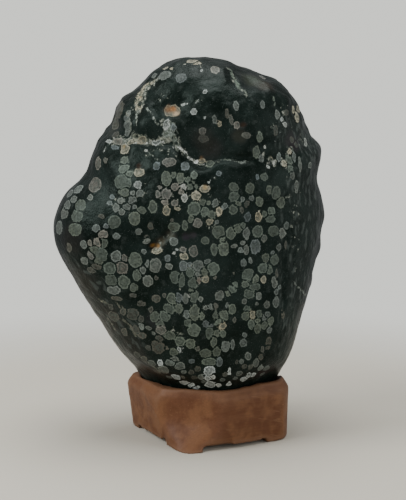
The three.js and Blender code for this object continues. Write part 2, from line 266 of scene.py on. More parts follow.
# Pale round mineral spots grew through the dark stone and were cut across when it was worn and
# polished. Where they crowd together they meet in thin dark lines. This is where they lie on the
# front, by shade: x, z, half width and half height. They were placed against a ruler.
SPOTS = {
    "green": [
        (59.6, 175.6, 2.3, 3.6), (60.2, 170.8, 1.6, 2.4), (50.5, 211, 0.8, 2), (51.2, 208.2, 0.8, 1.4),
        (-64, 148.5, 3.5, 3.8), (-66, 142.5, 3.8, 3.6), (-67, 134.5, 4.4, 3.8), (-43, 140, 3.8, 3.8),
        (-31, 142.5, 3.7, 4), (-37, 175, 3, 3), (-37, 171, 4, 3.4), (-34.5, 168.5, 2.8, 3),
        (-38, 163, 5.6, 4.8), (-37, 156.5, 4, 4.4), (-26.5, 147.5, 2.6, 2), (-31, 118, 4.1, 4.6),
        (-46, 112.3, 4, 3.8), (-45.5, 105, 4, 3.5), (-37.6, 104.4, 4, 4.2), (-32, 101.6, 2.8, 2.4),
        (-30, 109, 2.5, 3.4), (-12.4, 166, 3, 4.2), (-8.2, 168, 1.7, 1.8), (-4.2, 166.2, 2.5, 3.2),
        (0.2, 165.3, 1.9, 2), (3.6, 167.5, 2, 3), (3.4, 164.4, 1.7, 1.9), (1.4, 161.6, 2, 2),
        (4.6, 161.6, 1.3, 1.8), (-20.1, 149.8, 2.6, 3.9), (3.6, 148.8, 3.9, 3.9), (-8, 138, 3.5, 2.9),
        (-1.8, 139, 1.9, 2.8), (2, 142.6, 2, 2.1), (13, 174, 2.5, 1.9), (9, 152.5, 2, 2),
        (11.6, 152, 1.9, 1.4), (10, 147, 2.6, 2.8), (14, 145.5, 2.7, 2.6), (26.7, 161, 3, 2.9),
        (26.7, 155.5, 3.2, 3.4), (36, 160, 2.8, 3.4), (44.4, 166.6, 2.4, 2.2), (47.6, 158.8, 2, 2.6),
        (51.6, 157, 2.8, 4), (54.5, 151.3, 2.6, 3.6), (41.5, 152.3, 2.2, 3.1), (26.4, 148, 2.7, 3),
        (29, 151.5, 2, 2), (48.5, 146, 2.6, 2.6), (48.2, 141.8, 3, 2.4), (44.9, 145, 1.6, 2),
        (40.6, 134.8, 3.3, 3.4), (50, 134.6, 3.1, 3.2), (17.7, 135, 3.7, 4.2), (25, 134.3, 3, 3.6),
        (28.8, 137, 2.5, 2.8), (32, 138.5, 2, 2), (20.1, 130.6, 2, 2.4), (20.8, 125.6, 3.1, 4.8),
        (15.3, 125, 2, 3.5), (10, 130.3, 2.4, 2.4), (-7.7, 109, 3, 3.8), (-3.7, 107, 2, 4.4),
        (1.7, 111.4, 2.4, 2.5), (3.1, 105.2, 2.9, 3.4), (50.7, 117.7, 3, 3.4), (45.6, 119, 2.2, 2.5),
        (44.3, 113.2, 3.6, 2.8), (47.8, 112, 1.9, 3), (35.3, 109.3, 3.7, 4.1), (38.9, 107.4, 2.4, 3),
        (34.1, 104.6, 2.8, 2.8), (38.4, 102.3, 4.2, 2), (36, 98.8, 3.2, 3.2), (13.8, 113.6, 4.4, 3.8),
        (10.5, 112.3, 3, 2.8), (27.4, 104, 1.9, 2.2), (25.5, 101.4, 3, 2.6), (23.6, 99.8, 2, 2.6),
        (-9.6, 95.9, 2.7, 3.6), (3.6, 97.5, 2.7, 4), (2.4, 101, 2.2, 2), (-5.3, 90.1, 2.5, 3),
        (-11.3, 89.5, 3.6, 3.5), (4.3, 87.5, 3.4, 4.8), (7.5, 86, 2, 3), (25.8, 89.7, 2.2, 3.3),
        (-19.4, 84, 3, 3.6), (-13.6, 85.4, 3.4, 3.4), (-17, 80.5, 2.6, 2), (-11, 73.2, 3.4, 2.8),
        (-4.6, 69.6, 3, 3.2), (1.4, 68.3, 2.9, 3.2), (3.6, 77, 3.7, 4.2), (-0.3, 81.7, 2.2, 2.2),
        (12.5, 75, 2.3, 3.8), (17, 74.8, 1.9, 2.6), (20.4, 74.6, 1.7, 2.6), (15.1, 69.7, 2, 3.6),
        (16.2, 85.6, 2, 3.2), (21, 85.7, 3, 3.4), (18, 82.4, 2.6, 2.8), (16.7, 63.5, 2.1, 3.4),
        (10.6, 62.3, 3.6, 2.9), (12.5, 56.6, 4.2, 3), (34, 85.4, 2.7, 3), (37.2, 80, 2, 3.2),
        (41.6, 85.9, 2, 2.6), (41.2, 82, 1.8, 1.5), (41, 77, 2, 3.3), (48.8, 81.2, 2, 2.9),
        (45.2, 78.8, 2.4, 2.6), (34.6, 89.8, 2.2, 1.8), (41.8, 189.2, 1.9, 3.2), (40, 180.5, 2.2, 3.6),
        (-8.5, 62.8, 2.8, 2.4),
    ],
    "grey": [
        (-66.5, 157, 3, 3.2), (-72, 154, 3, 2.8), (-68.8, 151.5, 2.4, 2.4), (-73, 147.5, 3, 3.4),
        (-74.5, 143, 3.4, 3.6), (-78, 134, 3.2, 4.2), (-58, 153.4, 1.9, 1.9), (-38.4, 146, 1.9, 1.9),
        (-42, 148.4, 1.8, 2.8), (-54, 135.8, 2.3, 2.4), (-41.8, 132, 2.4, 1.9), (-28.6, 135, 1.9, 2),
        (-27.9, 157.3, 2.2, 2.2), (-32.4, 157, 2, 2), (-33, 153, 3.2, 3.2), (-38, 153.5, 3.4, 3.2),
        (-35.5, 149.6, 2.8, 2.2), (-31.5, 149.8, 2, 2), (-61.8, 126, 2.4, 2.4),
        (-61.8, 115.7, 2.3, 2.6), (-42, 119.7, 3.3, 3.4), (-44, 99, 4.4, 2.8), (-26.3, 112, 1.8, 2.5),
        (-23.4, 116.2, 1.4, 2.2), (-19, 115.3, 3.5, 4.2), (-11, 115, 2, 1.8), (-8.2, 129.5, 2.3, 2.6),
        (-24.2, 130.3, 2.4, 2.4), (-25.8, 123.3, 1.6, 1.6), (5.8, 115.7, 3.2, 3.4),
        (11.7, 117.9, 2.1, 1.6), (5.9, 110.3, 1.4, 1.6), (-23.4, 106, 2.9, 3.4), (-1.3, 96, 1.7, 3.4),
        (-0.8, 86.7, 1.7, 2.6), (7.4, 95.7, 1.6, 1.6), (18.3, 97.7, 2.6, 2.9), (13.4, 91.3, 1.8, 1.9),
        (10, 90.7, 1.4, 1.5), (23.2, 92, 1.3, 1.8), (31.8, 154, 1.4, 1.3), (37, 154.7, 1.7, 2),
        (21.2, 150, 1.9, 2), (15.8, 151.8, 1.9, 2.5), (16.3, 141, 1.6, 1.6), (34.2, 134, 1.8, 4),
        (44.5, 130.7, 1.9, 2.3), (55.5, 133.2, 2.2, 3.2), (58, 137, 1.6, 2.6), (53.3, 124.5, 1.5, 2.2),
        (49.6, 121.7, 1.2, 1.2), (27.1, 126.8, 1.9, 1.3), (30.8, 124.3, 1.8, 1.7),
        (34, 124.4, 1.6, 3.1), (32.1, 128.3, 1.6, 1.3), (32.7, 116.8, 1.8, 2.1), (36.5, 118, 1, 1.8),
        (33, 94, 1.5, 1.7), (41.6, 97, 1.7, 2.2), (40.4, 92.5, 0.9, 1), (46.4, 91.3, 1.9, 2.1),
        (51.9, 92.4, 1.8, 3.4), (51, 104, 2, 3.6), (52, 98.7, 1.3, 2.2), (54, 101, 0.9, 1.2),
        (46.8, 85.5, 2, 1.8), (44.8, 83.6, 1.4, 2), (48, 75.3, 1.8, 2.1), (22.1, 66.8, 2.5, 3.7),
        (26.3, 67.5, 1.3, 3.1), (32.8, 68.7, 2.2, 2.7), (33.4, 73.8, 1.4, 1.5), (35.7, 60, 2, 2.5),
        (31.8, 56.5, 1.3, 1.9), (-10.6, 55.4, 3.2, 2.2), (-5, 53.6, 3.2, 2.8), (-8, 58, 2.6, 1.8),
        (-3, 49.6, 1.6, 1.5), (-15, 49.6, 3.4, 4), (-22, 53.6, 2.3, 2.8), (8, 46, 2.2, 2.6),
        (9.6, 42, 1.8, 1.8), (20.6, 44, 1.8, 1.8), (30.6, 48.4, 2, 2.2), (28, 44.8, 1.6, 1.6),
        (40.4, 55, 1.8, 3.2), (43.4, 51, 1.8, 2.4), (47.4, 49.6, 2, 3), (45, 44.6, 1.8, 1.6),
        (-11.6, 43.4, 2.2, 1.6), (-20.2, 73.9, 1.3, 1.2), (-27.9, 77.4, 2.5, 2), (-23.4, 77, 1.8, 1.4),
        (-14.3, 225, 4.2, 3), (-20.6, 225, 1.8, 1.9), (27.9, 207.4, 1.8, 3.1), (15.6, 199.6, 1.5, 2.4),
        (43.7, 208, 1.3, 2.7), (42.6, 177, 1.8, 2.3), (-36.5, 199.5, 2.4, 2.2), (-36, 195.6, 3, 2.6),
        (-36, 192, 2.5, 2), (-35, 203, 2, 2), (66.4, 173, 1.1, 4.6), (62.6, 177.4, 1, 3.2),
        (53.5, 177.5, 1.3, 3), (52.7, 202, 1.5, 3), (61.6, 166.6, 1.3, 2.6), (73, 171.6, 1.2, 1.8),
        (64.2, 160, 1.3, 4),
    ],
    "rosy": [
        (-55.5, 160.5, 4.9, 4.4), (-54, 173, 2.2, 3.8), (-50, 132.4, 3, 2.6), (-53.5, 127.4, 3.4, 3),
        (-57.5, 127, 2.2, 2.2), (-57, 120, 2.8, 3.2), (-37.3, 118.9, 2.2, 2.1), (-38.7, 113, 3.6, 3.8),
        (-7.2, 161.4, 2.2, 2.4), (-4, 158.8, 1.9, 1.9), (-12.2, 157.2, 3, 3.2),
        (-13.1, 152.5, 2.4, 1.6), (-7.5, 152, 2.4, 1.8), (-10.8, 175.2, 4.1, 2.4),
        (5.6, 140.5, 2.8, 2.9), (3.2, 124, 2.5, 3.5), (-2.8, 124.6, 1.9, 1.8), (6.5, 107, 1.8, 2.4),
        (-15.9, 76.3, 3.3, 3.1), (28.2, 196.5, 1.7, 2.2), (15.9, 228.5, 2.6, 3.2), (44.8, 224, 2, 1.9),
        (47.8, 175.5, 1.5, 2.6), (8.6, 193.2, 2, 1.9), (-17.2, 157.3, 1.4, 2.8),
        (-16.5, 160.8, 1.4, 1.1), (-42, 186, 3.4, 2.3),
    ],
    "cream": [
        (-37.3, 182, 3.3, 3.2), (-28.3, 169.2, 3.1, 2.7), (10, 160.2, 3.2, 2.1), (5, 156.3, 2.6, 2.7),
        (17.9, 147, 2.3, 2.6), (12.8, 141.4, 2.6, 2), (41, 143.4, 2, 3), (-2.4, 121, 2.2, 2.6),
        (8.2, 175.8, 2.2, 1.2), (-12.2, 147.8, 2, 3), (-6, 148.8, 2, 1.1), (-18, 124, 3.5, 1.7),
        (2.5, 233.4, 3.4, 1.3), (5.4, 232.3, 2.2, 1.3), (-10, 229, 1.1, 0.9), (-13.5, 229.4, 1.8, 0.9),
        (9.8, 107.4, 2.4, 2.1), (44.3, 106.6, 1.8, 2.1), (37.7, 85.6, 2.3, 2.8), (20, 79.8, 2.8, 2.2),
        (-9.4, 204.3, 4.9, 3.7), (57, 173.6, 2, 2.2), (60, 179.6, 1.1, 2.6), (65.5, 200, 1.4, 3.2),
        (66.4, 204.6, 1.4, 2.4), (63, 204.4, 0.9, 2.6), (48, 176.2, 1.5, 2.6), (-33, 186.2, 2.6, 1.4),
        (-27, 187.4, 3, 2.6), (18.4, 197, 1.2, 1.9),
    ],
    "white": [
        (3.4, 204, 1.9, 2), (10, 215.5, 1.3, 1.4), (-2.2, 161, 1.8, 2), (-1.8, 155.2, 1.8, 2.5),
        (50, 174.4, 1, 1.5), (57.4, 196, 1.4, 1.6), (55.3, 199.4, 1, 1.6), (47, 172.4, 1.1, 1.2),
        (-7.8, 122.8, 1.3, 0.9), (-6, 124.8, 1.1, 0.7), (-5, 64.2, 2, 1.9), (-3.4, 64.6, 0.9, 1.7),
        (70.6, 185, 1.1, 2.8), (-47.5, 186, 2.4, 1.1), (-18, 186, 2.6, 1.1), (-12, 196.6, 2.4, 2.4),
        (-29, 162, 2.4, 2.4), (0.8, 97.5, 1.1, 1.8), (9.8, 200.6, 0.8, 0.9), (45, 183.5, 0.7, 1),
        (8, 227.7, 0.6, 1),
    ],
    # Pale spots along the foot, made lighter still: painted light standing in for light thrown up from the
    # table.
    "pale_painted_lit": [
        (-7.5, 44.6, 3.2, 3), (12.6, 50.4, 3.3, 4), (11.4, 45.4, 2.6, 2.6), (14.6, 46.4, 1.7, 2.6),
        (24.7, 50.4, 0.9, 2.9), (24.6, 40.4, 1.7, 2.4), (33.6, 43, 2.2, 2.6), (36.4, 46, 1.8, 2.8),
        (39.2, 45.8, 1.4, 2.8), (-2.2, 40, 3.2, 2.2), (1.6, 38.4, 3, 2), (4.6, 37, 2.2, 1.6),
        (13, 40, 3.7, 3.4), (17.8, 39.4, 2, 2), (-16.8, 54.6, 1.7, 3),
    ],
    "bluish": [
        (-4, 223.5, 3.3, 3.3), (-1.5, 173, 2.6, 2.8), (-18.2, 173, 2, 2.4), (-48, 137.5, 1.7, 1.5),
        (-46, 150.7, 1.7, 1.5), (-44.7, 154.6, 1.5, 1.4), (34.8, 143.6, 2, 2.8), (-11.8, 119.8, 1.9, 2),
        (-2.6, 115.5, 2.3, 3.3), (1, 116.5, 1.5, 1.5), (-5.4, 96.6, 1.9, 2.9), (10.6, 80.8, 1.8, 2.2),
        (13.9, 80, 1.4, 1.4), (18.4, 56.8, 2, 3), (2.2, 57.2, 1.8, 1.7), (39.4, 125.7, 3.1, 4.3),
        (-43.5, 183, 2.8, 1.6), (-9, 195.4, 2.2, 2), (17.8, 169, 1.6, 1.4), (40.4, 166.6, 1.2, 1.5),
    ],
    "dim": [
        (-50.8, 143, 2.2, 1.3), (-71.3, 123, 1.8, 3), (-49, 175, 1.6, 1.8), (-33, 85, 4.4, 3.8),
        (-38, 85.6, 3, 2.2), (-28, 82.5, 2.2, 2.2), (-45, 81.5, 3.8, 3.2), (-46.5, 87.8, 1.6, 1.9),
        (-42.5, 93.7, 4, 1.3), (-32.3, 96.6, 2, 1.5), (-27.4, 91.8, 2.6, 1.6), (-21.8, 88.7, 1.8, 1.7),
        (-18.7, 95.5, 2.6, 2.2), (-18.3, 108, 1.3, 1.2), (-13.8, 97.8, 1.1, 1.4),
        (-57.5, 110.3, 3, 1.9), (-54.5, 112.6, 3.6, 2), (-21.6, 138.6, 1.8, 2.2),
        (-24.5, 131.6, 2, 1.8), (-9.2, 142, 1.2, 1.2), (-27.4, 71.8, 3, 2.1), (-31, 75.6, 2.6, 2.6),
        (-18, 65.5, 4.4, 4.6), (-23.4, 64.3, 2.6, 1.7), (-17.2, 70.4, 2.4, 2.4), (-38.5, 72, 1.8, 3),
        (-13, 65, 1.4, 1.2), (5.5, 65, 1.4, 1.7), (22.7, 203, 1.2, 2.9), (25.3, 199.6, 1.1, 3),
        (58.4, 203, 1.7, 1.8), (61.6, 187, 1.5, 1.9), (64.2, 184, 0.9, 1.8), (51.4, 193, 1.5, 3.3),
        (9, 188.4, 3, 2.3), (34, 190.5, 3, 2), (-42, 205, 4, 6), (-44, 196, 2.6, 4),
        (-43.5, 190, 2.6, 2.4), (47.8, 68.5, 1.7, 2.8), (47.3, 64.6, 1.5, 1.5), (44.3, 63.2, 1.4, 2.8),
        (43.3, 58.8, 1.6, 2.2), (37, 52.6, 1.5, 1.9), (29, 56.6, 1.2, 1.6), (27.3, 83, 1.1, 1.9),
        (-26.6, 55.6, 2.4, 2.6), (-31, 58, 2.4, 2.4), (-19.4, 46.6, 2.4, 2.2), (5.6, 52, 2, 1.9),
        (1.6, 49.6, 1.8, 1.7), (3.6, 45.4, 1.7, 1.7), (-3.6, 45, 1.6, 1.5), (22, 48, 1.6, 1.8),
        (33.4, 53, 1.6, 1.6), (56.4, 84, 0.9, 2.8), (56, 87, 0.8, 1.6), (57.5, 126, 0.8, 2.4),
        (52.3, 109, 0.9, 3.4), (16, 108.6, 1, 1), (27, 110.5, 0.8, 0.7), (16.2, 91.5, 1.6, 1.8),
        (34.2, 151.5, 1.5, 2), (31.2, 147.6, 1.2, 2),
    ],
}
# Neighbours in this patch grew into one, with no dark line between them.
GROWN_TOGETHER = [
    (-55, 122.5, 3.8, 4), (-51.5, 120.5, 4, 4.6), (-49.6, 127.6, 2.7, 3), (-53, 117, 3, 3),
]

# The colour of each shade, before a spot is made a little lighter or darker.
SHADES = {
    "green": (0.069, 0.083, 0.066),
    "grey": (0.088, 0.100, 0.089),
    "rosy": (0.104, 0.103, 0.088),
    "cream": (0.186, 0.178, 0.130),
    "white": (0.185, 0.200, 0.182),
    "bluish": (0.074, 0.087, 0.085),
    "dim": (0.055, 0.056, 0.046),
    # Painted light: lighter than these foot spots' own colour, to stand for light from the table below.
    "pale_painted_lit": (0.300, 0.325, 0.310),
}

# The spots and their torn rims come out the same on every run.
SEED = 7
rng = random.Random(SEED)
noise.seed_set(SEED)
coins = []


def add_coin(place, wide, high, shade, patch=None):
    """A spot: middle, half width, half height, colour and the grown-together patch it is in."""
    light = rng.uniform(0.74, 1.13)
    warmth = rng.uniform(0.97, 1.03)
    red, green, blue = SHADES[shade]
    colour = (red * light * warmth, green * light, blue * light / warmth)
    coins.append((np.array(place), wide, high, colour, patch or len(coins) + 1))


for shade, spots in SPOTS.items():
    for x, z, wide, high in spots:
        add_coin(on_front(x, z), wide, high, shade)
for x, z, wide, high in GROWN_TOGETHER:
    add_coin(on_front(x, z), wide, high, "green", patch=-1)


# The random spots begin this far back, where those of the front end, and under the foot.
BACK_FROM = 8
FOOT_BELOW = 30
CROWD_TRIES = 90


def scatter_behind(crowds, alone):
    """Spots over the sides and back: crowds of them that touch, and some that lie alone."""
    shades = ["green"] * 5 + ["grey"] * 4 + ["rosy", "bluish", "dim", "dim", "cream"]

    def place_one(middle, spread):
        aim = Vector([rng.gauss(0, 1) for _ in range(3)]).normalized() * spread
        place = np.array(stone_skin.find_nearest((Vector(middle) + aim) * MM)[0]) / MM
        radius = rng.uniform(1.5, 3.8)
        clear = all(
            np.linalg.norm(place - other) > 0.86 * (radius + math.sqrt(wide * high))
            for other, wide, high, _, _ in coins
        )
        if clear and (place[1] > BACK_FROM or place[2] < FOOT_BELOW):
            add_coin(place, radius, radius * rng.uniform(0.9, 1.25), rng.choice(shades))

    for _ in range(crowds):
        middle = (rng.uniform(-75, 80), rng.uniform(12, 60), rng.uniform(45, 225))
        for _ in range(CROWD_TRIES):
            place_one(middle, rng.uniform(2, 22))
    for _ in range(alone):
        place_one((rng.uniform(-80, 80), rng.uniform(15, 60), rng.uniform(40, 230)), 4)


scatter_behind(crowds=19, alone=90)


def store(mesh, name, values):
    mesh.attributes.new(name, "FLOAT", "POINT").data.foreach_set("value", values)


def store_colour(mesh, name, colours, amounts):
    rows = np.column_stack([colours, amounts]).ravel()
    mesh.attributes.new(name, "FLOAT_COLOR", "POINT").data.foreach_set("color", rows)


CRUSHED_CORNER = (-26, 193)
BETWEEN_SPOTS = 0.36  # half the width of the dark line between spots that meet
SPOTS_GROWN = 0.1
RIM_RIPPLE = 0.62  # how far a rim strays, in millimetres
CORNER_RIPPLE = 1.2  # and how much further near the crushed corner
CORNER_REACH = (12, 27)
SPOT_DEEP = 1.6  # times its width, so that a spot stays whole where the front curves
SPOT_RISES = 0.09  # the spots are a little harder, and stand this far out of the dark stone


def store_coins(mesh):
    """Keeps for each point how far it lies inside (-) or outside (+) the rim of its spot, how far
    out from the spot's middle it is, and the spot's colour. Spots that meet have a thin dark
    line between them. Gives the distances back."""
    points = mesh_points(mesh)
    away = np.linalg.norm(points - on_front(*CRUSHED_CORNER), axis=1)
    torn = RIM_RIPPLE + CORNER_RIPPLE * (1 - step_up(away, *CORNER_REACH))
    points = points + torn[:, None] * random_shifts(points, 2.8)
    nearest = np.full(len(points), 1e3)
    second = np.full(len(points), 1e3)
    ring = np.ones(len(points))
    patches = np.zeros(len(points))
    colours = np.zeros((len(points), 3))
    for place, wide, high, colour, patch in coins:
        size = np.array([wide, SPOT_DEEP * max(wide, high), high])
        share = np.linalg.norm((points - place) / size, axis=1)
        outside = (share - 1) * math.sqrt(wide * high)
        closer = outside < nearest
        runner_up = np.where(closer, nearest, np.minimum(second, outside))
        second = np.where(patches == patch, second, runner_up)
        nearest = np.where(closer, outside, nearest)
        ring = np.where(closer, share, ring)
        patches = np.where(closer, patch, patches)
        colours[closer] = colour
    rim = np.maximum(nearest - SPOTS_GROWN, (nearest - second) / 2 + BETWEEN_SPOTS)
    store(mesh, "spot_rim", rim)
    store_colour(mesh, "spot_colour", colours, ring)
    return rim


spot_rims = store_coins(stone.data)
push_out(stone.data, SPOT_RISES * step_up(-spot_rims, -0.3, 0.5))

# Veins: colour, half width and the places that each runs through.
VEINS = [
    ((0.25, 0.24, 0.17), 1.3, [(-21, 221), (-25, 219.4), (-28, 217)]),
    ((0.25, 0.24, 0.17), 2.3, [(-27.6, 217), (-29.6, 213), (-29.4, 208.6), (-29, 206.4)]),
    ((0.22, 0.25, 0.21), 0.5, [(-29, 206), (-29.3, 203.6), (-30.4, 200), (-30, 196)]),
    ((0.16, 0.17, 0.13), 2.0, [(-31, 189), (-28, 188), (-25.4, 187)]),
    ((0.13, 0.14, 0.12), 1.7, [(-36, 202), (-35, 197.6), (-34.6, 193)]),
    ((0.13, 0.14, 0.12), 1.5, [(-43, 185.8), (-39, 186.4), (-35.4, 186)]),
    ((0.46, 0.48, 0.44), 0.5, [(-33.6, 187), (-31, 185.8)]),
    ((0.46, 0.48, 0.44), 0.5, [(-24.4, 185.4), (-22, 187), (-19.6, 186.2), (-17, 186), (-14, 186.6)]),
    ((0.19, 0.20, 0.16), 1.4, [(-16.4, 188), (-13.4, 187.4), (-11, 188)]),
    ((0.13, 0.15, 0.13), 1.9, [(-12.8, 191), (-10.4, 192.6), (-9, 196)]),
    ((0.11, 0.13, 0.11), 1.5, [(-8.8, 190), (-7, 187), (-6.2, 184.6)]),
    ((0.40, 0.42, 0.39), 0.35, [(-13.6, 193.8), (-12, 192), (-10.8, 193.6), (-12.2, 195)]),
    ((0.44, 0.46, 0.42), 0.55, [(-8.4, 183.4), (-5, 183), (-3, 181.2), (-0.6, 179.4), (0.4, 177.4)]),
    ((0.52, 0.54, 0.50), 0.6, [(0, 177.8), (2.4, 176), (4.6, 174.4), (9, 173.8)]),
    ((0.14, 0.16, 0.14), 0.2, [(15, 175), (21, 176.5), (26, 176), (31, 174.8), (35, 175.2)]),
    ((0.32, 0.35, 0.32), 0.2, [(-3.6, 207.6), (-1.4, 208.6), (1, 208.8)]),
    ((0.32, 0.35, 0.32), 0.2, [(3.2, 208.2), (4.6, 210), (7, 210.6), (10, 210)]),
    ((0.24, 0.27, 0.24), 0.35, [(-24.5, 206), (-22.5, 203.6), (-20, 200.5), (-18.8, 197.6), (-17, 196.4)]),
    ((0.085, 0.110, 0.085), 0.9, [(25, 228.5), (26.8, 224.5), (28.5, 221), (30, 217.8)]),
    ((0.13, 0.15, 0.12), 0.7, [(31.5, 216.4), (33.5, 216), (34.8, 213.8)]),
    ((0.30, 0.33, 0.30), 0.25, [(12.4, 164), (14, 165.3), (15.4, 165.8)]),
    ((0.36, 0.36, 0.28), 0.35, [(40.6, 145), (42, 148), (43.2, 150.6)]),
    ((0.24, 0.27, 0.25), 0.3, [(51, 186.6), (53, 190), (54.6, 193)]),
    ((0.26, 0.28, 0.25), 0.35, [(-24.5, 181.5), (-22, 179.8), (-19, 177.6), (-17.2, 176)]),
    ((0.26, 0.28, 0.26), 0.4, [(-51.5, 179), (-49.5, 182), (-47, 184.6), (-45, 186.4), (-44.4, 188.4)]),
    ((0.14, 0.16, 0.13), 0.9, [(-22.6, 53.6), (-20.5, 50.4), (-18, 47.4)]),
    ((0.16, 0.18, 0.16), 0.4, [(63, 103), (66, 99), (69.5, 95), (71.5, 92)]),
    ((0.12, 0.12, 0.09), 0.7, [(-53.5, 91.2), (-51.5, 90.8), (-49, 89.8)]),
    ((0.10, 0.10, 0.08), 0.9, [(-49, 79), (-46.5, 76), (-44.5, 72.5)]),
    ((0.09, 0.09, 0.07), 0.8, [(-43, 91), (-40.5, 88.5), (-38, 87)]),
    ((0.09, 0.09, 0.07), 0.9, [(-38.5, 80), (-35.5, 77), (-33, 74.5), (-31, 71)]),
]


def store_veins(mesh):
    points = mesh_points(mesh)
    points = points + 0.7 * random_shifts(points, 5)
    nearest = np.full(len(points), 1e3)
    colours = np.zeros((len(points), 3))
    for colour, half, route in VEINS:
        outside = path_distance(points, front_path(route)) - half
        closer = outside < nearest
        nearest = np.where(closer, outside, nearest)
        colours[closer] = colour
    store(mesh, "vein_rim", nearest)
    store_colour(mesh, "vein_colour", colours, np.ones(len(points)))


store_veins(stone.data)

# Crushed stretches, full of pale torn flecks: how thick with them, half width and the places
# that each runs through.
CRUSHED = [
    (1.1, 4.4, [(-20, 222), (-27, 217), (-29.4, 206)]),
    (0.7, 3.6, [(-34, 205), (-37, 198), (-35, 190)]),
    (1.0, 4.4, [(-44, 185.6), (-36, 187), (-28, 188.4), (-24, 187)]),
    (1.0, 3.4, [(-21, 186), (-16, 187), (-12, 187.6)]),
    (1.0, 4.2, [(-13, 197.4), (-10, 195), (-12, 189)]),
    (0.9, 3.2, [(-8.4, 192), (-6.6, 186), (-3, 181)]),
    (0.6, 4.0, [(-24, 180), (-16, 183), (-8, 180)]),
    (0.45, 5.0, [(-22, 205), (-15, 208), (-14, 213)]),
    (0.7, 2.0, [(-1, 179), (4, 175), (10, 173.6), (16, 175)]),
    (0.7, 2.6, [(24, 229), (28, 221), (33, 214)]),
    (0.6, 2.2, [(12, 174), (22, 175.5), (34, 175)]),
    (0.8, 3.6, [(44, 178), (50, 174), (58, 175), (60, 182)]),
    (0.6, 3.0, [(57, 172), (58.5, 164)]),
    (0.6, 3.4, [(50, 193), (55, 200), (58, 208)]),
    (0.6, 6.0, [(63, 196), (67, 186)]),
    (0.5, 7.0, [(62, 160), (64, 130), (64, 112)]),
    (0.8, 2.6, [(-20, 124.5), (-16, 125.5)]),
    (0.6, 3.0, [(-16, 128), (-9, 134)]),
    (0.5, 4.0, [(-10, 229), (2, 233), (8, 231)]),
    (0.5, 5.0, [(-27, 160), (-30, 150), (-44, 152)]),
    (0.5, 7.0, [(-14, 160), (-6, 154), (8, 158)]),
    (0.55, 6.0, [(10, 144), (20, 149), (14, 139)]),
    (0.5, 6.0, [(-6, 124), (2, 122), (4, 108)]),
    (0.5, 6.0, [(-2, 98), (4, 88), (-10, 74)]),
]


def store_crushed(mesh):
    points = mesh_points(mesh)
    thick = np.zeros(len(points))
    for amount, half, route in CRUSHED:
        away = path_distance(points, front_path(route)) / half
        thick = np.maximum(thick, amount * np.exp(-(away**4)))
    store(mesh, "crushed", thick)


store_crushed(stone.data)

# Stains that lie in the dark stone, under the spots: x, z, reach, strength and colour.
STAINS = [
    (-15, 129, 3.6, 0.9, (0.048, 0.042, 0.027)), (-10, 132.6, 3.4, 0.9, (0.046, 0.046, 0.033)),
    (-1, 132.4, 2.6, 0.8, (0.018, 0.011, 0.018)), (3.0, 133.2, 2.2, 0.7, (0.034, 0.026, 0.032)),
    (38, 222, 8, 0.6, (0.034, 0.042, 0.024)), (46, 219, 6, 0.7, (0.024, 0.017, 0.010)),
    (-70, 128, 10, 0.6, (0.012, 0.010, 0.008)), (-62, 100, 12, 0.8, (0.013, 0.012, 0.008)),
    (-48, 80, 12, 0.8, (0.013, 0.012, 0.008)), (-34, 62, 10, 0.7, (0.013, 0.012, 0.008)),
    (62, 186, 7, 0.6, (0.024, 0.013, 0.018)), (-20, 82, 6, 0.4, (0.024, 0.016, 0.024)),
    (46, 46, 7, 0.5, (0.028, 0.020, 0.022)), (30, 190, 5, 0.6, (0.026, 0.024, 0.014)),
    (-44, 201, 6.5, 0.6, (0.040, 0.043, 0.034)), (-46, 192, 5, 0.5, (0.034, 0.038, 0.030)),
]
# Rust and brown that soaked into spots and dark stone alike.
RUST = [
    (9, 188, 7, 0.5, (0.017, 0.0125, 0.0080)), (13, 183, 7.5, 0.55, (0.013, 0.0088, 0.0062)),
    (-11.6, 204.8, 2.9, 0.75, (0.175, 0.090, 0.038)), (-8.4, 205.2, 2.3, 0.8, (0.300, 0.130, 0.040)),
    (-6.6, 203.0, 1.8, 0.8, (0.440, 0.330, 0.200)), (-11.4, 207.4, 1.4, 0.7, (0.070, 0.040, 0.020)),
    (8.0, 177.0, 1.5, 0.6, (0.170, 0.100, 0.045)), (-20.6, 126.6, 2.2, 1.0, (0.130, 0.065, 0.014)),
    (-17.4, 126.6, 1.8, 0.8, (0.250, 0.150, 0.060)), (-28.3, 172.4, 1.9, 0.9, (0.026, 0.016, 0.010)),
    (-37.6, 183.2, 1.6, 0.55, (0.420, 0.300, 0.110)), (32, 196.5, 2.2, 0.85, (0.020, 0.011, 0.006)),
    (10, 160.8, 1.8, 0.6, (0.400, 0.280, 0.110)), (6.4, 107, 1.4, 0.5, (0.090, 0.050, 0.030)),
    (-28.5, 212, 1.4, 0.6, (0.300, 0.200, 0.090)),
]


def store_stains(mesh, name, stains):
    points = mesh_points(mesh)
    points = points + 0.9 * random_shifts(points, 4)
    colours = np.full((len(points), 3), 0.02)
    amounts = np.zeros(len(points))
    for x, z, reach, strength, colour in stains:
        away = np.linalg.norm(points - on_front(x, z), axis=1) / reach
        share = strength * np.exp(-(away**4))
        colours += share[:, None] * (np.array(colour) - colours)
        amounts = np.maximum(amounts, share)
    store_colour(mesh, name, colours, amounts)


store_stains(stone.data, "stain", STAINS)
store_stains(stone.data, "rust", RUST)

# Fine pale streaks along the two worn flanks. Those on the left are wavy and broken.
# The whole right flank is also lightened between its streaks, a painted sheen.
places = mesh_points(stone.data)
right_flank, left_flank = flank_shares(stone.data)
right_streaks = step_up(streaks(places, RIGHT_GRAIN, 1.9, 5.5), 0.16, 0.6)
wavy_places = places + 2.2 * random_shifts(places, 8)
left_streaks = step_up(streaks(wavy_places, LEFT_GRAIN, 2.7, 7), 0.12, 0.34)
# A third of this share covers the whole right flank as a painted sheen; the rest follows its worn streaks.
right_streaks_and_sheen = right_flank * (0.34 + 0.66 * right_streaks)
store(stone.data, "streaks", np.maximum(right_streaks_and_sheen, 0.62 * left_flank * left_streaks))
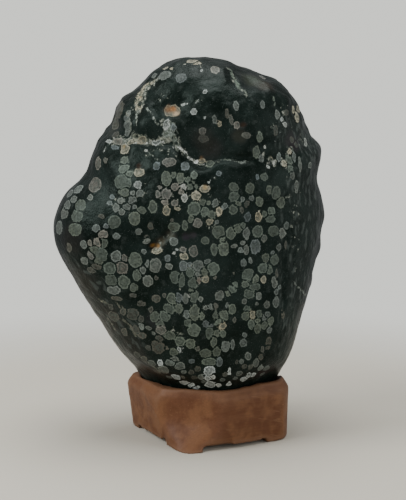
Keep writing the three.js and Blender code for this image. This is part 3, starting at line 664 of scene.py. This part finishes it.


# The finish is green-black with a soft polish. The spots, veins, torn flecks, stains, streaks and
# rust follow the values kept on the mesh, and fine noise tears their rims and mottles them. The
# streak colour also lays a painted sheen over the whole right flank.
DEEPEST = (0.0019, 0.0044, 0.0031, 1)
GREEN_BLACK = (0.0062, 0.0108, 0.0090, 1)
GREY_BLOTCH = (0.0140, 0.0185, 0.0162, 1)
PALE_GRAIN = (0.060, 0.068, 0.064, 1)
# Pale worn streaks; on the right flank the same colour also lays a painted sheen.
WORN_STREAK_AND_SHEEN = (0.050, 0.060, 0.054, 1)
FLECK_DULL = (0.048, 0.058, 0.047, 1)
FLECK_PALE = (0.238, 0.247, 0.205, 1)
VEIN_DULL = (0.050, 0.060, 0.046, 1)
VEIN_GAP = (0.011, 0.015, 0.012, 1)
SPOT_DULL = (0.050, 0.061, 0.052, 1)
SPOT_RING = (0.020, 0.027, 0.022, 1)
# The polish is old and soft, so it throws back little light.
STONE_SHEEN = 0.085
STONE_SHEEN_TINT = (0.76, 1.0, 0.89, 1)


def add(tree, kind, inputs=None, **settings):
    """Adds a node. An input is given as a value, or as another node's output to link."""
    made = tree.nodes.new(kind)
    for name, value in settings.items():
        setattr(made, name, value)
    for name, value in (inputs or {}).items():
        if isinstance(value, bpy.types.NodeSocket):
            tree.links.new(value, made.inputs[name])
        else:
            made.inputs[name].default_value = value
    return made


def mix(tree, share, first, second):
    """Blends two colours by a share from 0 to 1."""
    return add(tree, "ShaderNodeMix", {0: share, 6: first, 7: second}, data_type="RGBA").outputs[2]


def between(tree, value, low, high):
    """0 below low, 1 above high, and a smooth step between them. Low may be above high."""
    made = add(
        tree,
        "ShaderNodeMapRange",
        {"Value": value, "From Min": low, "From Max": high},
        interpolation_type="SMOOTHSTEP",
    )
    return made.outputs["Result"]


def maths(tree, operation, first, second):
    return add(tree, "ShaderNodeMath", {0: first, 1: second}, operation=operation).outputs[0]


def kept(tree, name):
    return add(tree, "ShaderNodeAttribute", attribute_name=name).outputs["Fac"]


def speckle(tree, where, size, detail=3.0, roughness=0.55):
    """Noise whose blotches are about the given size in millimetres."""
    made = add(
        tree,
        "ShaderNodeTexNoise",
        {"Vector": where, "Scale": 1 / (size * MM), "Detail": detail, "Roughness": roughness},
    )
    return made.outputs["Fac"]


def new_material(name):
    material = bpy.data.materials.new(name)
    material.use_nodes = True
    return material, material.node_tree, material.node_tree.nodes["Principled BSDF"]


def scaled(tree, colour, amount):
    """A colour made lighter or darker by a number."""
    return add(tree, "ShaderNodeVectorMath", {0: colour, 3: amount}, operation="SCALE").outputs[0]


def kept_colour(tree, name):
    """A kept colour, with its amount as alpha."""
    return add(tree, "ShaderNodeAttribute", attribute_name=name)


stone_finish, tree, shader = new_material("polished_stone")
where = add(tree, "ShaderNodeTexCoord").outputs["Object"]
cloud = speckle(tree, where, 15)
blotch = speckle(tree, where, 4)
grit = speckle(tree, where, 1.2)
fine = speckle(tree, where, 0.5, 2.0)

# The dark stone between the spots.
colour = mix(tree, between(tree, cloud, 0.35, 0.68), DEEPEST, GREEN_BLACK)
colour = mix(tree, between(tree, blotch, 0.54, 0.76), colour, GREY_BLOTCH)
colour = mix(tree, between(tree, fine, 0.64, 0.74), colour, PALE_GRAIN)
stain = kept_colour(tree, "stain")
colour = mix(tree, stain.outputs["Alpha"], colour, stain.outputs["Color"])
# Worn streaks, and a painted sheen over the whole right flank.
streak_and_sheen = between(tree, kept(tree, "streaks"), 0.1, 0.9)
colour = mix(tree, maths(tree, "MULTIPLY", streak_and_sheen, 0.75), colour, WORN_STREAK_AND_SHEEN)

# Torn pale flecks in the crushed stretches.
ragged = speckle(tree, where, 3.0, 5.0, 0.62)
fleck = maths(tree, "ADD", ragged, maths(tree, "MULTIPLY", kept(tree, "crushed"), 0.26))
pale = mix(tree, between(tree, grit, 0.44, 0.68), FLECK_DULL, FLECK_PALE)
has_flecks = between(tree, kept(tree, "crushed"), 0.05, 0.25)
shows = maths(tree, "MULTIPLY", between(tree, fleck, 0.715, 0.77), has_flecks)
colour = mix(tree, shows, colour, pale)

# Veins, with torn edges and gaps.
wander = maths(tree, "SUBTRACT", grit, 0.5)
torn = maths(tree, "MULTIPLY", maths(tree, "SUBTRACT", ragged, 0.5), 5.0)
vein_rim = maths(tree, "ADD", kept(tree, "vein_rim"), maths(tree, "ADD", torn, wander))
vein = kept_colour(tree, "vein_colour").outputs["Color"]
vein = scaled(tree, vein, maths(tree, "MULTIPLY", maths(tree, "POWER", grit, 1.5), 2.4))
vein = mix(tree, between(tree, speckle(tree, where, 1.7), 0.50, 0.60), vein, VEIN_DULL)
vein = mix(tree, between(tree, speckle(tree, where, 2.7, 4.0), 0.55, 0.60), vein, VEIN_GAP)
colour = mix(tree, between(tree, vein_rim, 0.35, -0.1), colour, vein)

# Spots: a torn outline, a pale rim, a mottled middle and, in some, a darker ring.
rim = maths(tree, "ADD", kept(tree, "spot_rim"), maths(tree, "MULTIPLY", wander, 1.9))
spot = kept_colour(tree, "spot_colour")
mottle = maths(tree, "ADD", maths(tree, "MULTIPLY", grit, 2.4), -0.4)
middle = scaled(tree, spot.outputs["Color"], mottle)
greyed = maths(tree, "MULTIPLY", between(tree, speckle(tree, where, 1.9), 0.47, 0.60), 0.6)
middle = mix(tree, greyed, middle, SPOT_DULL)
ring = maths(tree, "ABSOLUTE", maths(tree, "SUBTRACT", spot.outputs["Alpha"], 0.6), 0)
ring = maths(tree, "MULTIPLY", between(tree, ring, 0.16, 0.04), between(tree, cloud, 0.5, 0.6))
middle = mix(tree, maths(tree, "MULTIPLY", ring, 0.55), middle, SPOT_RING)
edge = scaled(tree, spot.outputs["Color"], maths(tree, "ADD", ragged, 0.85))
middle = mix(tree, between(tree, rim, -0.72, -0.40), middle, edge)
colour = mix(tree, between(tree, rim, 0.06, -0.22), colour, middle)

# Rust lies over everything.
rust = kept_colour(tree, "rust")
soaked = scaled(tree, rust.outputs["Color"], maths(tree, "ADD", grit, 0.5))
colour = mix(tree, rust.outputs["Alpha"], colour, soaked)
tree.links.new(colour, shader.inputs["Base Color"])

# It is polished, but not to a mirror, and rougher in blotches.
worn = maths(tree, "ADD", maths(tree, "MULTIPLY", blotch, 0.30), 0.20)
tree.links.new(worn, shader.inputs["Roughness"])
shader.inputs["Specular IOR Level"].default_value = STONE_SHEEN
shader.inputs["Specular Tint"].default_value = STONE_SHEEN_TINT
bump = add(
    tree,
    "ShaderNodeBump",
    {"Height": maths(tree, "ADD", grit, blotch), "Strength": 0.5, "Distance": 0.45 * MM},
)
tree.links.new(bump.outputs["Normal"], shader.inputs["Normal"])
stone.data.materials.append(stone_finish)
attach(stone, "root")
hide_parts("stone")


# ---- Stand --------------------------------------------------------------------------------
# One block of reddish-brown hardwood, carved by hand: a bevelled rim, a seat cut to the
# stone's foot, a swept front corner and four low feet.

SKIN_STEP = 0.8  # the size of the faces on the remade skin
SKIN_SMOOTHING = 4
CORNER_SMOOTHING = 90
STAND_TURN = math.radians(28)
SWEPT_CORNER = (2, -40)
SWEPT_REACH = 26
SWEPT_TOP = 30
RIDGE = [(-29, 30), (-22, 21), (-16, 13), (-12, 6)]  # x and z down the left edge of that corner

rough_stand = make_piece("carved_stand", merged_copy("stand"))
remesh = rough_stand.modifiers.new("even", "REMESH")
remesh.mode = "VOXEL"
remesh.voxel_size = SKIN_STEP * MM
stand_shape = bmesh.new()
stand_shape.from_object(rough_stand, bpy.context.evaluated_depsgraph_get())
bpy.data.objects.remove(rough_stand)
smooth(stand_shape, SKIN_SMOOTHING)
stand_shape.normal_update()


def on_swept_corner(vert):
    """Whether a vert is on the outside of the front corner, clear of the floor and the rim."""
    x, y, z = vert.co
    near = math.hypot(x - SWEPT_CORNER[0] * MM, y - SWEPT_CORNER[1] * MM) < SWEPT_REACH * MM
    return near and 1 * MM < z < SWEPT_TOP * MM and vert.normal.y < 0.2


smooth(stand_shape, CORNER_SMOOTHING, [vert for vert in stand_shape.verts if on_swept_corner(vert)])
stand_skin = BVHTree.FromBMesh(stand_shape)
stand = make_piece("carved_wooden_stand", stand_shape)


def neighbour_mean(mesh, values, times):
    """Blurs one row of values per point over the points that share an edge, several times."""
    ends = np.empty(len(mesh.edges) * 2, dtype=int)
    mesh.edges.foreach_get("vertices", ends)
    first, second = ends.reshape(-1, 2).T
    count = np.bincount(ends, minlength=len(values))[:, None]
    for _ in range(times):
        total = np.zeros_like(values)
        np.add.at(total, first, values[second])
        np.add.at(total, second, values[first])
        values = total / count
    return values


def store_edges(mesh, broad, sharpest):
    """Keeps how far each point stands out from the points around it: 1 along a sharp edge."""
    points = mesh_points(mesh)
    stands_out = np.sum((points - neighbour_mean(mesh, points, broad)) * mesh_normals(mesh), axis=1)
    stands_out = neighbour_mean(mesh, stands_out[:, None], 3)[:, 0]
    store(mesh, "edge", np.clip(stands_out / sharpest, 0, 1))


# The hand-cut skin is slightly uneven, and a soft ridge runs down the swept corner.
places = mesh_points(stand.data)
ridge = [np.array(seen_from_front(stand_skin, x, z)) / MM for x, z in RIDGE]
rise = 0.20 * rough_field(places, 11) + 0.05 * rough_field(places, 3)
push_out(stand.data, rise + 0.4 * np.exp(-((path_distance(places, ridge) / 2.6) ** 2)))
store_edges(stand.data, broad=30, sharpest=0.7)

# Dark red-brown wood with faint lengthwise bands, lighter blotches, a few slanting scratches, and
# lighter edges where the skin stands out from the points around it.
WOOD = (0.094, 0.037, 0.0165, 1)
WOOD_BAND = (0.110, 0.046, 0.0215, 1)
WOOD_BLOTCH = (0.142, 0.064, 0.029, 1)
WOOD_SCRATCH = (0.185, 0.098, 0.050, 1)
WOOD_EDGE_LIGHTER = (0.142, 0.070, 0.037, 1)


def drawn_out(tree, where, dip, times):
    """Places for a pattern that is drawn out along the block, or at a dip to it."""
    turned = add(
        tree,
        "ShaderNodeMapping",
        {"Vector": where, "Rotation": (0, dip, STAND_TURN), "Scale": (times, 1, 1)},
        vector_type="TEXTURE",
    )
    return turned.outputs["Vector"]


wood, tree, shader = new_material("carved_hardwood")
where = add(tree, "ShaderNodeTexCoord").outputs["Object"]
turned = drawn_out(tree, where, 0, 12)
grain = speckle(tree, turned, 0.9, 3.0, 0.6)
bands = speckle(tree, turned, 5, 3.0, 0.5)
patch = speckle(tree, where, 13)
colour = mix(tree, between(tree, bands, 0.35, 0.65), WOOD, WOOD_BAND)
colour = mix(tree, between(tree, patch, 0.44, 0.64), colour, WOOD_BLOTCH)
scratches = between(tree, speckle(tree, drawn_out(tree, where, 0.25, 16), 1.5, 2.0), 0.64, 0.72)
colour = mix(tree, maths(tree, "MULTIPLY", scratches, 0.45), colour, WOOD_SCRATCH)
# Lighter along edges that stand out from the skin around them.
colour = mix(tree, between(tree, kept(tree, "edge"), 0.2, 1.0), colour, WOOD_EDGE_LIGHTER)
colour = scaled(tree, colour, maths(tree, "ADD", maths(tree, "MULTIPLY", grain, 0.5), 0.75))
tree.links.new(colour, shader.inputs["Base Color"])
shader.inputs["Roughness"].default_value = 0.5
shader.inputs["Specular IOR Level"].default_value = 0.14
bump = add(tree, "ShaderNodeBump", {"Height": grain, "Strength": 0.3, "Distance": 0.12 * MM})
tree.links.new(bump.outputs["Normal"], shader.inputs["Normal"])
stand.data.materials.append(wood)
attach(stand, "root")
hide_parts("stand")


# ---- Table top and light ------------------------------------------------------------------
# A plain pale surface that fades out in a circle, and soft light from all round, strongest from
# the left and from above. It is only there to show the piece.

FLOOR_FADES_FROM = 0.17
FLOOR_GONE = 0.45
FLOOR_COLOUR = (0.49, 0.465, 0.395, 1)
ROOM_LIGHT = (0.34, 0.34, 0.35, 1)
BACKDROP = (1.00, 1.01, 0.95, 1)
LIT_MIDDLE = (0, 0, 120)

bpy.ops.mesh.primitive_circle_add(vertices=96, radius=FLOOR_GONE, fill_type="NGON")
floor = bpy.context.object
floor.name = "table_top"
pale, tree, shader = new_material("pale_paper")
where = add(tree, "ShaderNodeTexCoord").outputs["Object"]
from_middle = add(tree, "ShaderNodeVectorMath", {0: where}, operation="LENGTH").outputs["Value"]
tree.links.new(between(tree, from_middle, FLOOR_GONE, FLOOR_FADES_FROM), shader.inputs["Alpha"])
shader.inputs["Base Color"].default_value = FLOOR_COLOUR
shader.inputs["Roughness"].default_value = 0.9
shader.inputs["Specular IOR Level"].default_value = 0.1
floor.data.materials.append(pale)


def add_lamp(name, place, size, power):
    """A square soft light, in millimetres, that faces the middle of the stone."""
    lamp = bpy.data.objects.new(name, bpy.data.lights.new(name, "AREA"))
    lamp.data.size = size * MM
    lamp.data.energy = power
    lamp.location = Vector(place) * MM
    aim = Vector(LIT_MIDDLE) * MM - lamp.location
    lamp.rotation_euler = aim.to_track_quat("-Z", "Y").to_euler()
    bpy.context.scene.collection.objects.link(lamp)


add_lamp("window_light", (-750, -350, 650), 500, 9.6)
add_lamp("overhead_light", (50, 50, 1100), 700, 11)
add_lamp("right_bounce", (800, -350, 350), 600, 3)
add_lamp("front_bounce", (100, -900, 60), 700, 2.9)

# The room lights the stone softly, and shows as a pale backdrop.
world = bpy.data.worlds.new("soft_room")
world.use_nodes = True
tree = world.node_tree
room = tree.nodes["Background"]
room.inputs["Color"].default_value = ROOM_LIGHT
backdrop = add(tree, "ShaderNodeBackground", {"Color": BACKDROP})
seen = add(tree, "ShaderNodeLightPath").outputs["Is Camera Ray"]
both = add(tree, "ShaderNodeMixShader", {0: seen, 1: room.outputs[0], 2: backdrop.outputs[0]})
tree.links.new(both.outputs[0], tree.nodes["World Output"].inputs["Surface"])
bpy.context.scene.world = world
